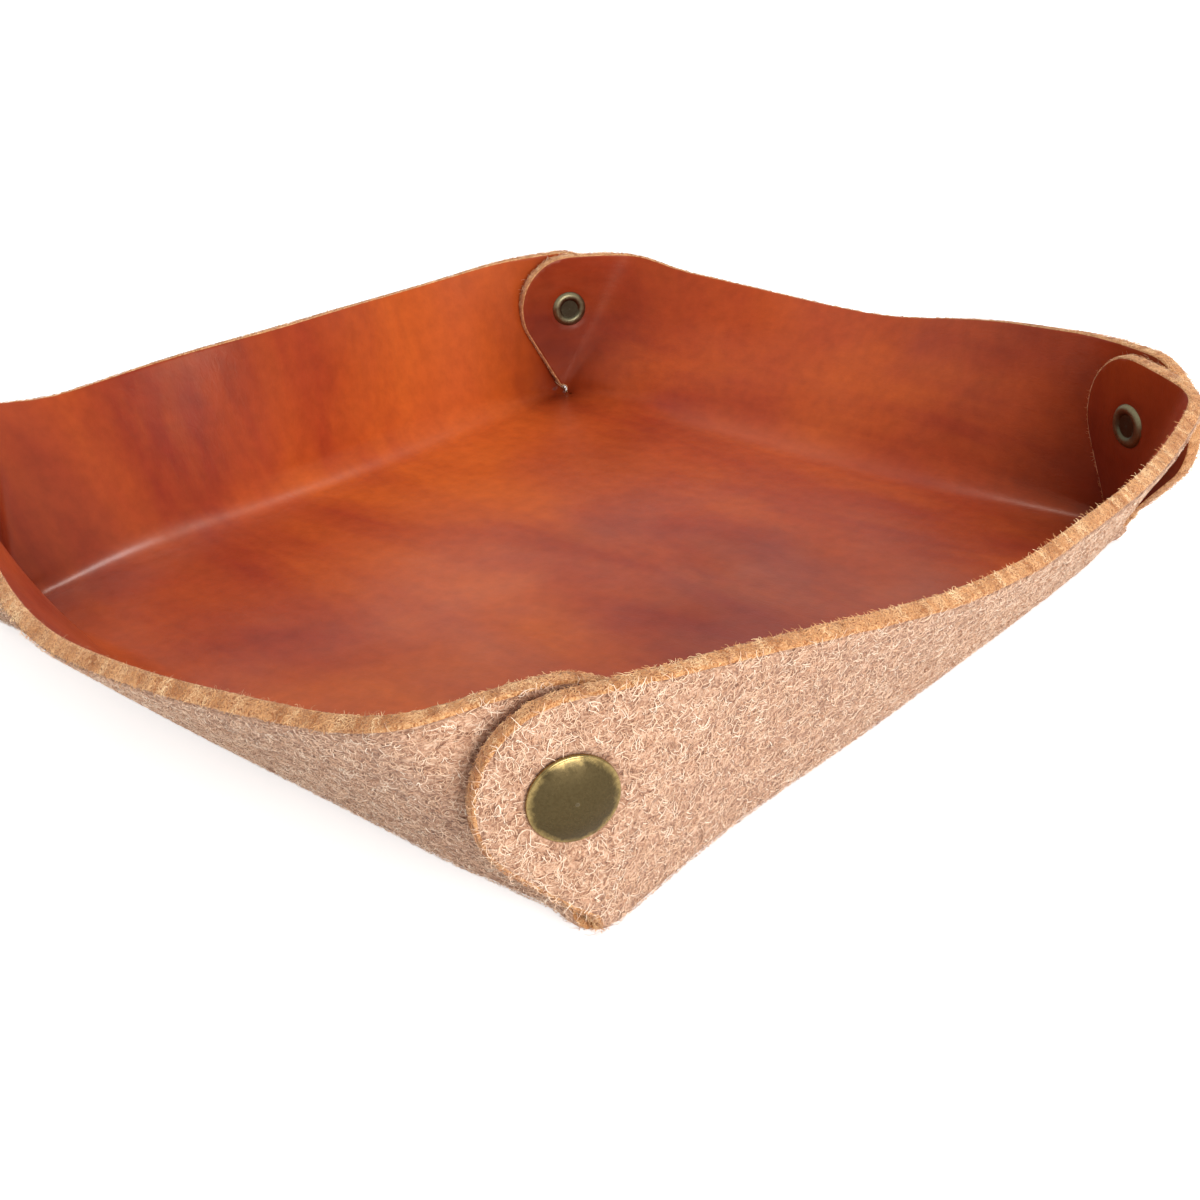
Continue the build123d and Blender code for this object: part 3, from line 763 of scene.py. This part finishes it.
def mesh_object(name, points, uv, groups):
    """Smooth mesh object from points, their flat coordinates, and (faces, material slot) groups."""
    corners = np.concatenate([faces.ravel() for faces, _ in groups]).astype(np.int32)
    sizes = np.concatenate([np.full(len(faces), faces.shape[1]) for faces, _ in groups])
    slots = np.concatenate([np.full(len(faces), slot) for faces, slot in groups]).astype(np.int32)
    starts = np.concatenate([[0], np.cumsum(sizes)[:-1]]).astype(np.int32)
    mesh = bpy.data.meshes.new(name)
    mesh.vertices.add(len(points))
    mesh.vertices.foreach_set("co", (points * MM).astype(np.float32).ravel())
    mesh.loops.add(len(corners))
    mesh.loops.foreach_set("vertex_index", corners)
    mesh.polygons.add(len(sizes))
    mesh.polygons.foreach_set("loop_start", starts)
    for m in LEATHER:
        mesh.materials.append(m)
    mesh.polygons.foreach_set("material_index", slots)
    mesh.polygons.foreach_set("use_smooth", np.ones(len(sizes), bool))
    mesh.update(calc_edges=True)
    layer = mesh.uv_layers.new(name="flat")
    layer.data.foreach_set("uv", (uv[corners] * MM).astype(np.float32).ravel())
    obj = bpy.data.objects.new(mesh.name, mesh)
    bpy.context.scene.collection.objects.link(obj)
    return obj


def quarter(k):
    """The leather of wall k: both faces, the cut edge and the loose fibres."""
    rng = np.random.default_rng(100 + k)
    p, q = FLAT[:, 0], FLAT[:, 1]
    P, du, dv, n = frame_at(p, q, k)
    u, v = world_flat(p, q, k)
    flat_uv = np.stack([u, v], -1)
    under = np.clip((UNDER_END - p) / UNDER_FADE, 0, 1)
    worn = under * UNDER_DEPTH * (1 + lattice(UNDER_SEED, u, v, UNDER_CELL)) / 2
    nap = waves(NAP_WAVES, u, v) * (1 - under) - worn
    flesh = P + n * (MID - NAP_DEPTH + nap - seats(P, q, k, *FLESH_SEATS))[:, None]
    grain = P - n * (MID - seats(P, q, k, *GRAIN_SEATS))[:, None]
    flat_out = edge_normals()
    outward = du[LOOP] * flat_out[:, :1] + dv[LOOP] * flat_out[:, 1:]
    outward /= np.linalg.norm(outward, axis=1, keepdims=True)
    cut = KINDS == CUT
    edge = LOOP[cut]
    grain[edge] -= outward[cut] * GRAIN_SHORT
    flesh[edge] -= outward[cut] * FLESH_SHORT + n[edge] * FLESH_DROP
    points, uvs, rows = [grain, flesh], [flat_uv, flat_uv], [LOOP]
    count, around = len(p), len(LOOP)
    base = 2 * count
    for depth, out in EDGE_ROWS:
        rough = EDGE_ROUGH * rng.standard_normal((around, 2))
        across = n[LOOP] * (MID * depth + rough[:, 1])[:, None]
        points.append(P[LOOP] + across + outward * (out + rough[:, 0])[:, None])
        uvs.append(flat_uv[LOOP])
        rows.append(np.arange(base, base + around))
        base += around
    rows.append(LOOP + count)
    i = np.arange(around)
    j = (i + 1) % around
    both = cut[i] & cut[j]
    i, j = i[both], j[both]
    strips = [np.stack([a[i], a[j], b[j], b[i]], -1) for a, b in zip(rows, rows[1:])]
    fibre, fibre_faces, fibre_uv = flesh_fibres(k, rng)
    short, short_faces, short_uv = edge_fibres(rng, P[edge], n[edge], outward[cut], flat_uv[edge])
    groups = [(TRI, GRAIN_SLOT), (TRI[:, ::-1] + count, FLESH_SLOT),
              (np.concatenate(strips), EDGE_SLOT), (fibre_faces + base, FIBRE_SLOT),
              (short_faces + base + len(fibre), EDGE_FIBRE_SLOT)]
    return mesh_object(f"leather_{WALLS[k]}", np.concatenate(points + [fibre, short]),
                       np.concatenate(uvs + [fibre_uv, short_uv]), groups)


def share_normals(objects):
    """The same normals on both sides of the seams, where quarters of the one sheet meet."""
    count = len(FLAT)
    seam = np.concatenate([LOOP[KINDS == SEAM], [LOOP[0]]])
    seam = np.unique(np.concatenate([seam, seam + count]))
    sums, stored = {}, []
    for obj in objects:
        mesh = obj.data
        normal = np.empty(len(mesh.vertices) * 3, np.float32)
        mesh.vertices.foreach_get("normal", normal)
        co = np.empty(len(mesh.vertices) * 3, np.float32)
        mesh.vertices.foreach_get("co", co)
        normal, co = normal.reshape(-1, 3), co.reshape(-1, 3)
        keys = [tuple(np.round(co[i] * 1e5).astype(int)) for i in seam]
        stored.append((mesh, normal, keys))
        for i, key in zip(seam, keys):
            sums[key] = sums.get(key, 0) + normal[i]
    for mesh, normal, keys in stored:
        for i, key in zip(seam, keys):
            normal[i] = sums[key] / max(1e-9, np.linalg.norm(sums[key]))
        mesh.normals_split_custom_set_from_vertices(normal.tolist())


QUARTERS = [quarter(k) for k in range(4)]
share_normals(QUARTERS)

HINGES = {j["name"]: j for j in frame["record"]["behaviour"]["joints"]}
for k, obj in enumerate(QUARTERS):
    corner = CORNERS[k]
    hinge = HINGES[f"peel_{corner}"]
    point, axis = Vector(hinge["pos_m"]), Vector(hinge["axis"]).normalized()
    snap, facing = snap_axis(k)
    across = axis.cross(Vector(facing)).normalized()
    if (Vector(snap) * MM - point).dot(across) < 0:
        across = -across
    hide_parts("leather_body", f"outer_tab_{corner}")
    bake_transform(obj)

# ---------------------------------------------------------------- press studs
def dress(name, m):
    """Give a piece of the frame its material."""
    o = frame["nodes"][name]
    if not o.data.materials:
        o.data.materials.append(m)
    for s in o.material_slots:
        s.link = "OBJECT"
        s.material = m


WIRE = make_wire()
for k, corner in enumerate(CORNERS):
    cap = make_brass(f"cap_brass_{corner}", k, (0.080, 0.058, 0.026), (0.30, 0.215, 0.085),
                     inner=0.84, outer=7.5, rough=(0.18, 0.32))
    post = make_brass(f"post_brass_{corner}", k, (0.05, 0.045, 0.028), (0.22, 0.19, 0.11),
                      inner=0.45, outer=5.4, rough=(0.3, 0.5))
    hidden = make_brass(f"snap_brass_{corner}", k, (0.14, 0.11, 0.05), (0.42, 0.31, 0.13),
                        inner=0.3, outer=6.0, rough=(0.28, 0.45))
    dress(f"snap_cap_{corner}", cap)
    dress(f"snap_post_{corner}", post)
    dress(f"snap_socket_{corner}", hidden)
    dress(f"snap_stud_{corner}", hidden)
    dress(f"socket_spring_{corner}", WIRE)

# ---------------------------------------------------------------- floor and backdrop
FLOOR_HALF, FLOOR_DROP, FLOOR_WHITE, FLOOR_GLOW = 12, 0.0003, 0.88, 0.58
WORLD_LIGHT, WORLD_SEEN = 0.55, 0.45


def seen_rays(nt):
    """1 for rays that see the surface itself, straight, in a reflection or through a piece."""
    path = nt.nodes.new("ShaderNodeLightPath").outputs
    bounced = maths(nt, "MAXIMUM", path["Is Glossy Ray"], path["Is Transmission Ray"])
    return maths(nt, "MAXIMUM", path["Is Camera Ray"], bounced)


def make_floor():
    """Diffuse white that also glows to the camera, so it is white but keeps the shadow."""
    m, nt, b = material("floor_pale")
    b.inputs["Base Color"].default_value = (*grey(FLOOR_WHITE), 1)
    b.inputs["Roughness"].default_value = 0.9
    glow = nt.nodes.new("ShaderNodeEmission")
    glow.inputs["Strength"].default_value = FLOOR_GLOW
    both = nt.nodes.new("ShaderNodeAddShader")
    nt.links.new(b.outputs[0], both.inputs[0])
    nt.links.new(glow.outputs[0], both.inputs[1])
    pick = nt.nodes.new("ShaderNodeMixShader")
    nt.links.new(seen_rays(nt), pick.inputs[0])
    nt.links.new(b.outputs[0], pick.inputs[1])
    nt.links.new(both.outputs[0], pick.inputs[2])
    nt.links.new(pick.outputs[0], nt.nodes["Material Output"].inputs["Surface"])
    return m


floor_mesh = bpy.data.meshes.new("floor")
floor_corners = [(x * FLOOR_HALF, y * FLOOR_HALF, -FLOOR_DROP)
                 for x, y in ((-1, -1), (1, -1), (1, 1), (-1, 1))]
floor_mesh.from_pydata(floor_corners, [], [(0, 1, 2, 3)])
floor_mesh.materials.append(make_floor())
floor = bpy.data.objects.new("floor", floor_mesh)
bpy.context.scene.collection.objects.link(floor)

world = bpy.data.worlds.new("studio")
bpy.context.scene.world = world
world.use_nodes = True
nt = world.node_tree
backdrop = nt.nodes["Background"]
backdrop.inputs["Color"].default_value = (1, 1, 1, 1)
extra = maths(nt, "MULTIPLY", seen_rays(nt), WORLD_SEEN)
nt.links.new(maths(nt, "ADD", extra, WORLD_LIGHT), backdrop.inputs["Strength"])


# ---------------------------------------------------------------- lamps and camera
def lamp(name, place, target, size, power):
    """Rectangular area lamp that looks at the target."""
    data = bpy.data.lights.new(name, "AREA")
    data.shape = "RECTANGLE"
    data.size, data.size_y = size
    data.energy = power
    o = bpy.data.objects.new(name, data)
    o.location = place
    o.rotation_euler = (Vector(target) - Vector(place)).to_track_quat("-Z", "Y").to_euler()
    bpy.context.scene.collection.objects.link(o)


lamp("key", (1.05, -0.40, 0.38), (0, 0, 0.02), size=(0.6, 0.4), power=11.0)
lamp("overhead", (-0.10, 0.32, 0.90), (0, 0, 0.0), size=(0.2, 0.12), power=3.5)

# the photo's camera, fitted to its corners and rims; pixels of its 1200 x 1200 frame
PICTURE, SENSOR = 1200, 36
FOCAL, PPX, PPY = 1510.0, 68.9, -51.5           # focal length and shift of the middle, in pixels
AZ, EL, ROLL = math.radians(41.6), math.radians(24.3), math.radians(-2.71)
DIST, TX, TZ = 367.3, 23.5, 6.2                 # distance and sideways place, in millimetres
d = Vector((math.sin(AZ) * math.cos(EL), -math.cos(AZ) * math.cos(EL), math.sin(EL)))
right = Vector((math.cos(AZ), math.sin(AZ), 0))
up = d.cross(right)
centre = d * DIST + right * TX + up * TZ
x_axis = right * math.cos(ROLL) + up * math.sin(ROLL)
y_axis = -right * math.sin(ROLL) + up * math.cos(ROLL)
cam_data = bpy.data.cameras.new("camera")
cam_data.lens = FOCAL / PICTURE * SENSOR
cam_data.sensor_width = SENSOR
cam_data.shift_x = -PPX / PICTURE
cam_data.shift_y = PPY / PICTURE
cam_data.clip_start = 0.01
cam_data.clip_end = 50
cam = bpy.data.objects.new("camera", cam_data)
cam.matrix_world = Matrix((
    (x_axis.x, y_axis.x, d.x, centre.x * MM),
    (x_axis.y, y_axis.y, d.y, centre.y * MM),
    (x_axis.z, y_axis.z, d.z, centre.z * MM),
    (0, 0, 0, 1)))
bpy.context.scene.collection.objects.link(cam)
bpy.context.scene.camera = cam
bpy.context.scene.view_settings.view_transform = "Standard"
